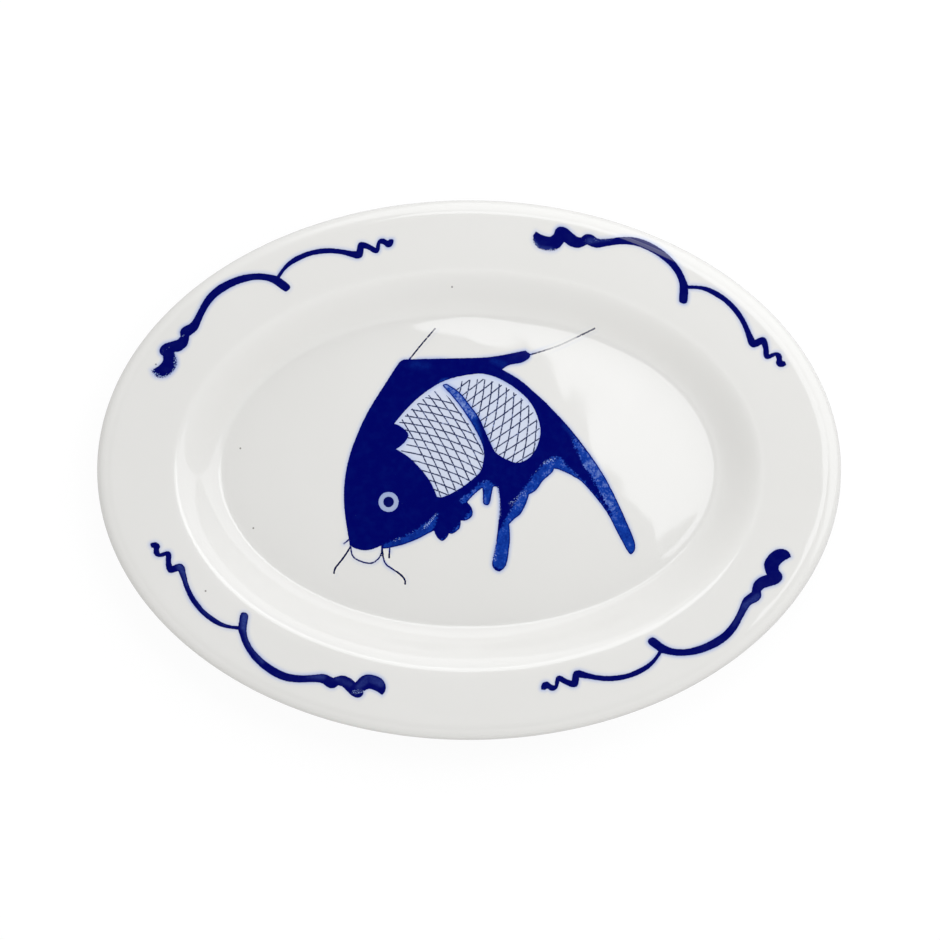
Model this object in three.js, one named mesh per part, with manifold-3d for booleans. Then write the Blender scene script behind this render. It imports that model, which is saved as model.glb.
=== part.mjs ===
// Oval porcelain plate with a blue carp printed in its well and four cloud scrolls stamped on its rim.
// Millimetres, +Z up. The foot ring stands on Z = 0, the long side lies along X, the origin is the middle.

import * as THREE from "three";
import { mergeVertices } from "three/addons/utils/BufferGeometryUtils.js";
import Module from "manifold-3d";

const wasm = await Module();
wasm.setup();

// Driving dimensions of the plate, in section on its short side
const PLATE_LENGTH = 254;
const PLATE_WIDTH = 184.5;
const RIM_WIDTH = 23.5; // from the outer edge to the top of the wall
const RIM_RISE = 3.5; // climb of the rim from the wall to its crest
const RIM_THICKNESS = 4.4;
const WALL_WIDTH = 14.75; // from the top of the wall in to the flat floor
const WALL_EASE = 6.5; // reach of the soft bends at the foot and the top of the wall
const END_SPREAD = 3.25; // what the rim and the wall gain in width at the long ends
const WELL_DEPTH = 14.5; // from the flat floor to the crest of the rim
const FLOOR_THICKNESS = 5;
const LIP_WIDTH = 5; // rolled edge, from the crest outwards
const LIP_DROP = 2.5; // from the crest down to the widest line of the edge
const LIP_SHOULDER = 3.5; // how far the lip stays level before it rolls over
const FOOT_HEIGHT = 3;
const FOOT_INSET = 3; // from the edge of the flat floor in to the outside of the foot
const FOOT_FACE = 3.5; // unglazed face that stands on the table
const FOOT_LEAN = 1.2; // how far each flank of the foot leans
const AROUND = 72; // facets round the plate
const WALL_STEPS = 12; // straight steps up the wall
const LIP_STEPS = 5; // straight steps over the lip, and again under it

// Driving dimensions of the prints
const PRINT_FILM = 0.3;
const PRINT_GAP = 0.3; // under the film, clear of the glaze facets
const LINE_HALF = 0.22; // half the width of a fine brush line
const NET_HALF = 0.16; // half the width of a line of the scale nets
const EYE_RADIUS = 3.55;
const PUPIL_RADIUS = 1.8;
const EYE_AT = [-28, -11.2];
const CURVE_STEPS = 3; // straight steps for each point of a drawn curve
const EYE_STEPS = 24; // straight steps round the eye
const NET_STEPS = 8; // straight steps along a line of the nets
const FRONT_RIGHT_INSET = 15.9; // from the plate's edge in to where a scroll's thin stroke leaves
const FRONT_LEFT_INSET = 16.2;
const REAR_LEFT_INSET = 13;
const REAR_RIGHT_INSET = 11.6;

// Heights and half-sizes that follow from the sizes above
const floorTop = FOOT_HEIGHT + FLOOR_THICKNESS;
const crestTop = floorTop + WELL_DEPTH;
const blockTop = 2 * crestTop; // clear of the plate and of the prints on it
const floorHalfWidth = PLATE_WIDTH / 2 - RIM_WIDTH - WALL_WIDTH;
const floorHalfLength = PLATE_LENGTH / 2 - RIM_WIDTH - WALL_WIDTH - END_SPREAD;
const footOutside = floorHalfWidth - FOOT_INSET;
const footInside = footOutside - FOOT_FACE - 2 * FOOT_LEAN;

// The carp's outline, clockwise from the corner of its mouth, in smooth stretches that meet at corners
const CARP_OUTLINE = [
  // brow, up to the front of the back fin
  [[-41.4, -26.3], [-42.6, -19.2], [-43.5, -11.6], [-43.2, -3.2], [-41.1, 6.6], [-35.7, 19.5],
    [-27.8, 32.3], [-24, 37.9], [-21.4, 38.6]],
  // top of the back fin
  [[-21.4, 38.6], [-3.4, 39], [5.6, 39.3], [11.5, 40.1], [19.6, 41.7]],
  // trailing end of the back fin
  [[19.6, 41.7], [21.3, 40.3], [20.6, 38.8], [18, 37.4], [14.1, 36.7], [11.5, 35.1]],
  // back and tail
  [[11.5, 35.1], [17.7, 31.4], [22.6, 27.2], [28.2, 22], [37.6, 11.4], [47.5, -3], [55.2, -19.2],
    [57.7, -26.2], [56.6, -29.2], [55, -28.2], [51.3, -21.3], [47.4, -14], [40.3, -5.2], [36, -2.1],
    [31.6, 0], [29.6, 0.4]],
  // fin under the tail
  [[29.6, 0.4], [28.7, -1.1], [25.6, -3.9], [23.4, -7], [20.8, -8.6]],
  [[20.8, -8.6], [19.7, -12], [17.8, -15.4], [15.8, -17], [13.9, -18.9]],
  // long belly fin
  [[13.9, -18.9], [14.2, -23.2], [13.8, -27.8], [12.8, -33.1], [10.4, -35.3], [8.3, -33.8], [8.2, -30.7],
    [9.7, -23.2], [10.5, -14.5], [10.5, -9.5], [9.7, -6.1]],
  // short belly fin
  [[9.7, -6.1], [8.5, -5.9], [7.9, -8], [7.1, -11.7], [6, -12.3], [4.9, -11.4], [4.8, -7], [4.5, -6.3]],
  // belly
  [[4.5, -6.3], [1.7, -8.6], [-0.7, -11.2]],
  // three lobes of the breast fin
  [[-0.7, -11.2], [1, -13.6], [1, -16.1], [-1.1, -17.6], [-2.9, -17.6]],
  [[-2.9, -17.6], [-3.3, -20.3], [-5.5, -22.1], [-7, -22.1]],
  [[-7, -22.1], [-7.9, -23.7], [-9.3, -24.7], [-11, -23.6], [-12.2, -21.1]],
  // chin
  [[-12.2, -21.1], [-18.2, -24.2], [-24, -26.3], [-29.8, -27.4], [-30.3, -26.2]],
  // upper lip
  [[-30.3, -26.2], [-33, -27.4], [-36.2, -28], [-39.3, -27.4], [-41.4, -26.3]],
];

// The bare window in the carp's side, with the flank stroke reaching up into it from below
const WINDOW_OUTLINE = [
  // round the rear net and up the flank stroke
  [[-26.1, 16.1], [-23.4, 19.5], [-19.1, 24], [-14.8, 27.5], [-10.2, 30.4], [-5.1, 32.3], [1.6, 33.5],
    [5.6, 33.5], [10.8, 31.8], [16.2, 28.5], [20.9, 24.2], [23.7, 19.1], [24.9, 14], [24.4, 10.3],
    [23, 6.7], [20.5, 3.8], [16.9, 2.4], [13.7, 3.3], [9.7, 5.6], [7.6, 9], [3.5, 18.1], [0.2, 22.6],
    [-3.5, 27.2], [-7.9, 30.1]],
  // down the other side of the stroke and along the belly
  [[-7.9, 30.1], [-9.1, 29.3], [-6, 25.9], [-2.1, 20.9], [1.7, 14.9], [4.3, 9.7], [5.2, 5.9], [4.9, 2.4],
    [3.6, -1.1], [-1.1, -5.1], [-5.9, -8.1], [-9.2, -9.5], [-11.2, -9.4]],
  // gill
  [[-11.2, -9.4], [-12.2, -6.9], [-13.9, -3.6], [-16.9, 0.3], [-21.3, 4.6], [-25.5, 7.2]],
  // cheek
  [[-25.5, 7.2], [-22.9, 9.2], [-21.2, 12.3], [-23.7, 15], [-26.1, 16.1]],
];

// A straight cut down the flank stroke parts the window's front net from its rear net
const FLANK_CUT = [[-14, 36], [-7.5, 29.5], [1.5, 19.5], [6.3, 8.5], [7.5, -4], [7.5, -14]];
const NET_REACH = 60; // past every side of the window
const NET_DROP = 1.9; // how far below the upper edges of the window the net lines start

// Fine brush lines round the mouth and off the back fin
const BRUSH_LINES = [
  [[-41.2, -26.4], [-40.4, -30], [-37.7, -31.8], [-34.4, -32.5], [-32.1, -31.5], [-30.5, -29.2],
    [-30.3, -26.4]],
  [[-41.2, -26.5], [-41.9, -28], [-44.1, -31.2], [-46.4, -34.1], [-46.9, -36.1]],
  [[-41.4, -24], [-43.6, -25.8]],
  [[-30.2, -27], [-29.9, -30.2], [-28.8, -32.9], [-26.1, -34.8], [-23.5, -36.7], [-22.2, -38.5],
    [-22.2, -39.8]],
  [[-27.5, -26], [-27.8, -30.7]],
  [[-21.2, 38.2], [-16.8, 43.7], [-11.8, 49.6]],
  [[20.4, 40], [30.5, 43.1], [39.1, 47.1], [43.9, 49.4]],
];

// Each family of net lines: the first line's distance from the net's middle, the step to the next line,
// the lean of the first line, how much each next line turns, and the bow of every line
const FRONT_NET = {
  middle: [-8, 9],
  families: [
    { turn: -60, count: 8, first: -9.1, step: 2.7, lean: -0.058, splay: 0.011, bow: -0.0037 },
    { turn: -17, count: 13, first: 14.3, step: -2.55, lean: 0.003, splay: -0.004, bow: -0.0057 },
  ],
};
const REAR_NET = {
  middle: [13, 18],
  families: [
    { turn: 35, count: 13, first: 18.5, step: -2.8, lean: 0.072, splay: -0.0095, bow: 0.0025 },
    { turn: -99, count: 11, first: -18.3, step: 2.9, lean: -0.168, splay: 0.028, bow: -0.006 },
  ],
};

// One scroll, drawn from where its thin stroke leaves: X runs clockwise along the rim, Y outwards
const SCROLL_OUTLINE = [
  // inner side of the thick curl
  [[-53.7, -9.5], [-52.5, -10.5], [-50.7, -11.1], [-48.1, -10.7], [-45.7, -9.5], [-44.5, -7.8],
    [-43.9, -5.2]],
  [[-43.9, -5.2], [-41.6, -5.5], [-39.1, -5], [-37.7, -3.8], [-36.6, -2.5]],
  // inner side of the long arc, round the end of its hook
  [[-36.6, -2.5], [-33.2, -1.9], [-30.6, 0], [-28, 1.9], [-24.9, 3.6], [-21.4, 4.8], [-17.2, 5.2],
    [-13, 5], [-8.8, 4.1], [-6.2, 3], [-3.8, 1.4], [-2, -0.8], [-0.5, -4], [0.4, -5.1], [2, -4.9],
    [2.4, -3.6], [0.8, 0]],
  // inner side of the thin stroke and its zigzag
  [[0.8, 0], [3.2, 1.2], [6.2, 1.9], [9.9, 1.9], [13.7, 1.5], [17.6, 0.2], [20.7, -1.3], [23.6, -3.3],
    [26.2, -5.8], [27.8, -7.3], [29.7, -7.4], [31.4, -5.3]],
  [[31.4, -5.3], [32.6, -6.4], [33.6, -8.1], [34.6, -8.9], [35.8, -8.6], [37.3, -6.7]],
  [[37.3, -6.7], [38.2, -7.5], [38.7, -8.8], [39.7, -9.3], [40.9, -9.1], [41.9, -7.8], [40.9, -7]],
  // back along the outer side of the zigzag and the thin stroke
  [[40.9, -7], [40, -7], [39.2, -5.8], [38, -5.3], [36.7, -5.7], [35.2, -7.2]],
  [[35.2, -7.2], [34.1, -5.5], [32.7, -3.7], [31.3, -2.9], [30.2, -3.3], [28.7, -5]],
  [[28.7, -5], [26.5, -3.5], [23.5, -1.2], [20, 1], [16.2, 2.5], [12.1, 3.4], [8.2, 3.6], [4.5, 2.9],
    [0.2, 1]],
  // outer side of the long arc
  [[0.2, 1], [-1.3, 2.2], [-3.6, 4], [-6.6, 5.6], [-10.5, 7], [-14.7, 7.7], [-19, 7.8], [-22.9, 7.1],
    [-26.6, 5.5], [-30, 3.3], [-33.9, 1.1], [-36.8, 1.1], [-38.6, 0.3], [-39.4, -1.3]],
  // outer side of the thick curl and its blunt end
  [[-39.4, -1.3], [-40.8, -1.7], [-43.1, -1.3], [-45.5, -0.9], [-47.6, -1.5], [-48.4, -3], [-48.2, -4.5],
    [-49, -5.9], [-51.3, -6.6], [-54, -6.6]],
  [[-54, -6.6], [-54.2, -8.1], [-53.7, -9.5]],
];

// Where each scroll was stamped by hand: its bearing round the oval, its inset from the plate's edge,
// its turn, and how much the transfer stretched
const SCROLL_STAMPS = [
  { name: "scroll_front_right", bearing: -54.2, inset: FRONT_RIGHT_INSET, turn: -151.5, stretch: 1 },
  { name: "scroll_front_left", bearing: -134.5, inset: FRONT_LEFT_INSET, turn: 147.8, stretch: 0.98 },
  { name: "scroll_rear_left", bearing: 125.1, inset: REAR_LEFT_INSET, turn: 29.3, stretch: 0.98 },
  { name: "scroll_rear_right", bearing: 49.9, inset: REAR_RIGHT_INSET, turn: -27.6, stretch: 1.01 },
];

const porcelain = { color: 0xe6e5e1, roughness: 0.12, metalness: 0 };
const cobalt = { color: 0x06126b, roughness: 0.18, metalness: 0 };

const flat = ([x, y]) => new THREE.Vector2(x, y);

// Closed mesh to solid and back, for cutting and joining
const SAME_POINT = 1e-4; // corners closer than this are one
function solidFrom(geometry) {
  const bare = new THREE.BufferGeometry();
  bare.setAttribute("position", geometry.getAttribute("position"));
  bare.setIndex(geometry.getIndex());
  const merged = mergeVertices(bare, SAME_POINT);
  return new wasm.Manifold(new wasm.Mesh({
    numProp: 3,
    vertProperties: new Float32Array(merged.getAttribute("position").array),
    triVerts: new Uint32Array(merged.getIndex().array),
  }));
}

function geometryFrom(solid) {
  const mesh = solid.getMesh();
  const geometry = new THREE.BufferGeometry();
  geometry.setAttribute("position", new THREE.BufferAttribute(new Float32Array(mesh.vertProperties), 3));
  geometry.setIndex(new THREE.BufferAttribute(new Uint32Array(mesh.triVerts), 1));
  geometry.computeVertexNormals();
  return geometry;
}

function piece(name, solid, finish) {
  const mesh = new THREE.Mesh(geometryFrom(solid), new THREE.MeshStandardMaterial(finish));
  mesh.name = name;
  return mesh;
}

// Half-length of the oval ring whose half-width is given: the foot keeps its width all round,
// the wall and the rim spread a little more at the long ends
function halfLengthOf(halfWidth) {
  const rings = [
    [0, 0],
    [footInside, floorHalfLength - floorHalfWidth + footInside],
    [floorHalfWidth, floorHalfLength],
    [PLATE_WIDTH / 2, PLATE_LENGTH / 2],
  ];
  let next = 1;
  while (next < rings.length - 1 && halfWidth > rings[next][0]) next += 1;
  const [fromWidth, fromLength] = rings[next - 1];
  const [toWidth, toLength] = rings[next];
  return fromLength + ((halfWidth - fromWidth) / (toWidth - fromWidth)) * (toLength - fromLength);
}

// Section of the plate on its short side, from the middle of the underside round to the middle of the floor
function plateSection() {
  const edge = PLATE_WIDTH / 2;
  const crest = edge - LIP_WIDTH;
  const wallTop = edge - RIM_WIDTH;
  const rimFoot = crestTop - RIM_RISE;
  const rimSlope = RIM_RISE / (crest - wallTop);
  const wall = new THREE.CubicBezierCurve(
    flat([floorHalfWidth, floorTop]),
    flat([floorHalfWidth + WALL_EASE, floorTop]),
    flat([wallTop - WALL_EASE, rimFoot - WALL_EASE * rimSlope]),
    flat([wallTop, rimFoot]),
  );
  const wallPoints = [];
  const underPoints = [];
  for (let step = 0; step <= WALL_STEPS; step += 1) {
    const share = step / WALL_STEPS;
    const point = wall.getPoint(share);
    const along = wall.getTangent(share);
    const thickness = FLOOR_THICKNESS + (RIM_THICKNESS - FLOOR_THICKNESS) * share;
    wallPoints.push(point);
    underPoints.push(flat([point.x + along.y * thickness, point.y - along.x * thickness]));
  }
  const underLip = flat([crest, crestTop - RIM_THICKNESS]);
  const widest = flat([edge, crestTop - LIP_DROP]);
  const lipUnder = new THREE.CubicBezierCurve(
    underLip,
    flat([crest + LIP_WIDTH / 2, underLip.y]),
    flat([edge, widest.y - LIP_DROP / 2]),
    widest,
  );
  const lipTop = new THREE.CubicBezierCurve(
    widest,
    flat([edge, widest.y + LIP_DROP / 2]),
    flat([crest + LIP_SHOULDER, crestTop]),
    flat([crest, crestTop]),
  );
  return [
    flat([0, FOOT_HEIGHT]),
    flat([footInside, FOOT_HEIGHT]),
    flat([footInside + FOOT_LEAN, 0]),
    flat([footOutside - FOOT_LEAN, 0]),
    flat([footOutside, FOOT_HEIGHT]),
    ...underPoints,
    ...lipUnder.getPoints(LIP_STEPS),
    ...lipTop.getPoints(LIP_STEPS).slice(1),
    ...wallPoints.reverse(),
    flat([0, floorTop]),
  ];
}

// The pressed body: the section turned round and drawn out into ovals
function plateSolid() {
  const geometry = new THREE.LatheGeometry(plateSection(), AROUND);
  geometry.rotateX(Math.PI / 2);
  const position = geometry.getAttribute("position");
  for (let i = 0; i < position.count; i += 1) {
    const x = position.getX(i);
    const halfWidth = Math.hypot(x, position.getY(i));
    if (halfWidth > 0) position.setX(i, (x * halfLengthOf(halfWidth)) / halfWidth);
  }
  return solidFrom(geometry);
}

// Closed outline of smooth stretches that meet at corners
function outlineShape(stretches) {
  const shape = new THREE.Shape();
  shape.moveTo(...stretches[0][0]);
  for (const stretch of stretches) shape.splineThru(stretch.slice(1).map(flat));
  return shape;
}

// Round of the eye
function eyeShape(radius) {
  const round = new THREE.EllipseCurve(...EYE_AT, radius, radius);
  return new THREE.Shape(round.getPoints(EYE_STEPS).slice(1));
}

// Upright block of a flat shape, tall enough to pass through the whole plate
function blockOf(shape) {
  const geometry = new THREE.ExtrudeGeometry(shape, {
    depth: blockTop,
    bevelEnabled: false,
    curveSegments: CURVE_STEPS,
  });
  return solidFrom(geometry);
}

// Ribbon of even width along a smooth line through the points
function ribbonShape(points, half, steps) {
  const line = new THREE.SplineCurve(points.map(flat));
  const left = [];
  const right = [];
  for (let step = 0; step <= steps; step += 1) {
    const point = line.getPoint(step / steps);
    const along = line.getTangent(step / steps);
    left.push(flat([point.x - along.y * half, point.y + along.x * half]));
    right.push(flat([point.x + along.y * half, point.y - along.x * half]));
  }
  return new THREE.Shape([...left, ...right.reverse()]);
}

function joined(solids) {
  return solids.reduce((sum, solid) => sum.add(solid));
}

// The largest body of a solid: crumbs cut off at the corners of the window fall away
function mainBody(solid) {
  return solid.decompose().reduce((most, body) => (body.volume() > most.volume() ? body : most));
}

const plate = plateSolid();
const filmTop = plate.translate([0, 0, PRINT_GAP + PRINT_FILM]);
const filmFoot = plate.translate([0, 0, PRINT_GAP]);

// A thin film of ink in the outline of a block, lying on the plate's upper face
function filmOf(block) {
  return block.intersect(filmTop).subtract(filmFoot);
}

// The carp's figure with its window and eye left bare, and the fine lines off its mouth and back fin
function carpBlock() {
  const figure = blockOf(outlineShape(CARP_OUTLINE));
  const bare = joined([blockOf(outlineShape(WINDOW_OUTLINE)), blockOf(eyeShape(EYE_RADIUS))]);
  const lines = BRUSH_LINES.map((points) =>
    blockOf(ribbonShape(points, LINE_HALF, points.length * CURVE_STEPS)));
  return joined([figure.subtract(bare), ...lines]);
}

// Bowed lines of one family of a net, as ribbons across the whole window
function netLines(middle, family) {
  const turn = THREE.MathUtils.degToRad(family.turn);
  const lines = [];
  for (let line = 0; line < family.count; line += 1) {
    const points = [];
    for (let step = 0; step <= NET_STEPS; step += 1) {
      const along = (step / NET_STEPS - 0.5) * NET_REACH;
      const lean = family.lean + family.splay * line;
      const across = family.first + family.step * line + lean * along + family.bow * along * along;
      points.push([
        middle[0] + along * Math.cos(turn) - across * Math.sin(turn),
        middle[1] + along * Math.sin(turn) + across * Math.cos(turn),
      ]);
    }
    lines.push(blockOf(ribbonShape(points, NET_HALF, NET_STEPS)));
  }
  return lines;
}

// The side of the flank cut that holds one net
function netSide(towards) {
  const far = NET_REACH * towards;
  const top = FLANK_CUT[0];
  const foot = FLANK_CUT[FLANK_CUT.length - 1];
  const corners = [...FLANK_CUT, [foot[0] + far, foot[1]], [top[0] + far, top[1]]];
  return blockOf(new THREE.Shape(corners.map(flat)));
}

function netBlock(net, towards) {
  const window = blockOf(outlineShape(WINDOW_OUTLINE));
  const field = window.intersect(window.translate([0, -NET_DROP, 0])).intersect(netSide(towards));
  const lines = net.families.flatMap((family) => netLines(net.middle, family));
  return mainBody(joined(lines).intersect(field));
}

// One scroll, stretched, turned and set down on the rim at its bearing
function scrollBlock(stamp) {
  const bearing = THREE.MathUtils.degToRad(stamp.bearing);
  const turn = THREE.MathUtils.degToRad(stamp.turn);
  const leave = flat([0, 0]);
  const at = flat([
    (PLATE_LENGTH / 2 - stamp.inset) * Math.cos(bearing),
    (PLATE_WIDTH / 2 - stamp.inset) * Math.sin(bearing),
  ]);
  const place = (point) =>
    flat(point).multiplyScalar(stamp.stretch).rotateAround(leave, turn).add(at).toArray();
  return blockOf(outlineShape(SCROLL_OUTLINE.map((stretch) => stretch.map(place))));
}

const ovalPlate = new THREE.Group();
ovalPlate.add(
  piece("porcelain_body", plate, porcelain),
  piece("carp_figure", filmOf(carpBlock()), cobalt),
  piece("carp_pupil", filmOf(blockOf(eyeShape(PUPIL_RADIUS))), cobalt),
  piece("carp_front_net", filmOf(netBlock(FRONT_NET, -1)), cobalt),
  piece("carp_rear_net", filmOf(netBlock(REAR_NET, 1)), cobalt),
);
for (const stamp of SCROLL_STAMPS) ovalPlate.add(piece(stamp.name, filmOf(scrollBlock(stamp)), cobalt));

export default ovalPlate;
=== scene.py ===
# Oval porcelain plate with a blue carp in its well and four cloud scrolls on its rim.
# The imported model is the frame: everything is in its metres, with +Z up out of the well.
import math

import bpy
import numpy as np
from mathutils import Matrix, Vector
from mathutils.geometry import interpolate_bezier


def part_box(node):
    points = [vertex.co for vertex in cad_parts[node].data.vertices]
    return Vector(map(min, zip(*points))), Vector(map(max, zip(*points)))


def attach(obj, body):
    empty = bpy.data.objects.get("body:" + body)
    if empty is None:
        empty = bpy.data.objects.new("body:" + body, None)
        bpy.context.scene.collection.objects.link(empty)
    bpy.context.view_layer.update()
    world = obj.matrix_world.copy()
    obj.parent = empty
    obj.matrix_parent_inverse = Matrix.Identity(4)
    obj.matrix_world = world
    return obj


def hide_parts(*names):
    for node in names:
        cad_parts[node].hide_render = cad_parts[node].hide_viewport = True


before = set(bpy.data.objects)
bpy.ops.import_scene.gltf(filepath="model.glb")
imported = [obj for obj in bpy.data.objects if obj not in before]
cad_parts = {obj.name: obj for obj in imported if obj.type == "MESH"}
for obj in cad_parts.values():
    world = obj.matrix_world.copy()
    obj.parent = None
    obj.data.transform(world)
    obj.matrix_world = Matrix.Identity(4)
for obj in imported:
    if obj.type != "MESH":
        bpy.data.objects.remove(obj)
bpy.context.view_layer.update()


# Porcelain body
# An oval plate pressed in one piece from white clay, with a coved wall, a rim and a rounded lip.
# It is dipped in clear glaze and fired, and its foot ring is wiped bare so that it doesn't stick.
MM = 0.001
AROUND = 96
WALL_RINGS = 9
SMOOTH_LEVELS = 2
body_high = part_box("porcelain_body")[1]
edge = body_high.y
crest_height = body_high.z
foot_height = 3 * MM
floor_thickness = 5 * MM
rim_thickness = 4.4 * MM
rim_width = 23.5 * MM
rim_rise = 3.5 * MM
rim_slope = 0.189
wall_width = 14.75 * MM
wall_ease = 4.5 * MM
end_spread = 3.25 * MM
foot_inset = 3 * MM
foot_face = 3.5 * MM
foot_lean = 1.2 * MM
foot_round = 0.3 * MM
foot_flare = 0.1 * MM
foot_cove = 0.4 * MM
foot_ease = 0.5 * MM
base_margin = 3 * MM

floor_top = foot_height + floor_thickness
wall_top = edge - rim_width
rim_foot = crest_height - rim_rise
floor_edge = wall_top - wall_width
floor_end = body_high.x - rim_width - wall_width - end_spread
foot_outside = floor_edge - foot_inset
foot_inside = foot_outside - foot_face - 2 * foot_lean


def oval(half_width):
    """Half-length of the oval ring of that half-width: the wall and the rim spread at the long ends."""
    if half_width < floor_edge:
        return floor_end + half_width - floor_edge
    return floor_end + (half_width - floor_edge) * (body_high.x - floor_end) / (edge - floor_edge)


wall = interpolate_bezier(
    Vector((floor_edge, floor_top)),
    Vector((floor_edge + wall_ease, floor_top)),
    Vector((wall_top - wall_ease, rim_foot - wall_ease * rim_slope)),
    Vector((wall_top, rim_foot)),
    WALL_RINGS,
)
rim_and_lip = [
    Vector((edge - inset * MM, crest_height - drop * MM))
    for inset, drop in (
        (17, 2.27), (8, 0.57), (6.6, 0.3), (5.6, 0.13), (4.8, 0.03), (4, 0.02),
        (3.2, 0.1), (2.4, 0.28), (1.7, 0.53), (1.1, 0.86), (0.55, 1.3), (0.15, 1.85),
        (-0.18, 2.6), (0.2, 3.35), (1.4, 3.95), (3, 4.3), (5, 4.4),
    )
]
under = []
for here, there in zip(wall, wall[1:]):
    along = (there - here).normalized()
    under.append((here + there) / 2 + Vector((along.y, -along.x)) * rim_thickness)
under.reverse()
foot = [
    Vector((floor_edge, foot_height)),
    Vector((foot_outside + foot_round, foot_height)),
    Vector((foot_outside - foot_flare, foot_height - foot_cove)),
    Vector((foot_outside - foot_lean, foot_round)),
    Vector((foot_outside - foot_lean - foot_round, 0)),
    Vector((foot_inside + foot_lean + foot_round, 0)),
    Vector((foot_inside + foot_lean, foot_round)),
    Vector((foot_inside + foot_flare, foot_height - foot_cove)),
    Vector((foot_inside - foot_ease, foot_height)),
    Vector((foot_inside - base_margin, foot_height)),
]
rings = wall + rim_and_lip + under + foot

bpy.ops.object.select_all(action="DESELECT")
bpy.ops.mesh.primitive_circle_add(vertices=AROUND, radius=1, location=(0, 0, floor_top))
plate = bpy.context.object
plate.name = "plate_glazed"
plate.scale = (oval(floor_edge), floor_edge, 1)
bpy.ops.object.transform_apply()
bpy.ops.object.mode_set(mode="EDIT")
bpy.ops.mesh.select_all(action="SELECT")
for here, there in zip(rings, rings[1:]):
    bpy.ops.mesh.extrude_edges_move(TRANSFORM_OT_translate={"value": (0, 0, there.y - here.y)})
    bpy.ops.transform.resize(
        value=(oval(there.x) / oval(here.x), there.x / here.x, 1), center_override=(0, 0, there.y))
for first in (0, AROUND * (len(rings) - 1)):
    bpy.ops.mesh.select_mode(type="VERT")
    bpy.ops.mesh.select_all(action="DESELECT")
    bpy.ops.object.mode_set(mode="OBJECT")
    for corner in plate.data.vertices[first:first + AROUND]:
        corner.select = True
    bpy.ops.object.mode_set(mode="EDIT")
    bpy.ops.mesh.fill_grid(span=AROUND // 4)
bpy.ops.mesh.select_all(action="SELECT")
bpy.ops.mesh.normals_make_consistent(inside=False)
bpy.ops.object.mode_set(mode="OBJECT")
smooth = plate.modifiers.new("smooth", "SUBSURF")
smooth.levels = SMOOTH_LEVELS
smooth.render_levels = SMOOTH_LEVELS
bpy.ops.object.modifier_apply(modifier="smooth")
bpy.ops.object.shade_smooth()


def place_node(tree, kind, values=None, **settings):
    """A shader node of that kind, with its settings and the values of its inputs."""
    made = tree.nodes.new("ShaderNode" + kind)
    for key, value in settings.items():
        setattr(made, key, value)
    for key, value in (values or {}).items():
        made.inputs[key].default_value = value
    return made


def linear(*screen):
    """A colour given in screen values of 0 to 255, as the shader's linear colour."""
    colour = []
    for value in screen:
        share = value / 255
        colour.append(((share + 0.055) / 1.055) ** 2.4 if share > 0.04045 else share / 12.92)
    return [*colour, 1]


GLAZE_IOR = 1.6
DIMPLE_SHARE = 0.06
glaze_ripple = bpy.data.node_groups.new("glaze_ripple", "ShaderNodeTree")
glaze_ripple.interface.new_socket("Normal", in_out="OUTPUT", socket_type="NodeSocketVector")
glaze_ripple.interface.new_socket("Gloss", in_out="OUTPUT", socket_type="NodeSocketFloat")
place = place_node(glaze_ripple, "TexCoord")
swell = place_node(glaze_ripple, "TexNoise", {"Scale": 20, "Detail": 2, "Roughness": 0.45})
dimples = place_node(glaze_ripple, "TexNoise", {"Scale": 60, "Detail": 1})
height = place_node(glaze_ripple, "Math", {1: DIMPLE_SHARE}, operation="MULTIPLY_ADD")
bump = place_node(glaze_ripple, "Bump", {"Strength": 1, "Distance": 0.8 * MM})
haze = place_node(glaze_ripple, "TexNoise", {"Scale": 90, "Detail": 2})
gloss = place_node(glaze_ripple, "MapRange", {
    "From Min": 0.3, "From Max": 0.7, "To Min": 0.025, "To Max": 0.06})
ripple_out = glaze_ripple.nodes.new("NodeGroupOutput")
glaze_ripple.links.new(place.outputs["Object"], swell.inputs["Vector"])
glaze_ripple.links.new(place.outputs["Object"], haze.inputs["Vector"])
glaze_ripple.links.new(place.outputs["Object"], dimples.inputs["Vector"])
glaze_ripple.links.new(dimples.outputs["Fac"], height.inputs[0])
glaze_ripple.links.new(swell.outputs["Fac"], height.inputs[2])
glaze_ripple.links.new(height.outputs["Value"], bump.inputs["Height"])
glaze_ripple.links.new(haze.outputs["Fac"], gloss.inputs["Value"])
glaze_ripple.links.new(bump.outputs["Normal"], ripple_out.inputs["Normal"])
glaze_ripple.links.new(gloss.outputs["Result"], ripple_out.inputs["Gloss"])

WHITE = (229, 228, 225)
OFF_WHITE = (224, 223, 219)
STAINS = {"window_stain": (207, 214, 231), "eye_stain": (168, 178, 203)}
PINHOLE_BROWN = (92, 86, 82)
# Pinholes in the glaze, in millimetres. Height counts by a share, so that a small error doesn't hide a pit.
PINHOLES = [
    (-5.9, 63, 15.2), (-79.7, 7.5, 8), (-75, -20.3, 8), (-89.6, -41.9, 20.2), (-106.9, 35.3, 21.9),
]
HEIGHT_SHARE = 0.1
FOOT_CLAY = (205, 196, 180)
CLAY_ROUGHNESS = 0.75
porcelain_colour = bpy.data.node_groups.new("porcelain_colour", "ShaderNodeTree")
porcelain_colour.interface.new_socket("Color", in_out="OUTPUT", socket_type="NodeSocketColor")
links = porcelain_colour.links
place = place_node(porcelain_colour, "TexCoord")
cloudy = place_node(porcelain_colour, "TexNoise", {"Scale": 14, "Detail": 3})
tone = place_node(porcelain_colour, "Mix", data_type="RGBA")
tone.inputs["A"].default_value = linear(*WHITE)
tone.inputs["B"].default_value = linear(*OFF_WHITE)
links.new(place.outputs["Object"], cloudy.inputs["Vector"])
links.new(cloudy.outputs["Fac"], tone.inputs["Factor"])
coloured = tone
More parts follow.
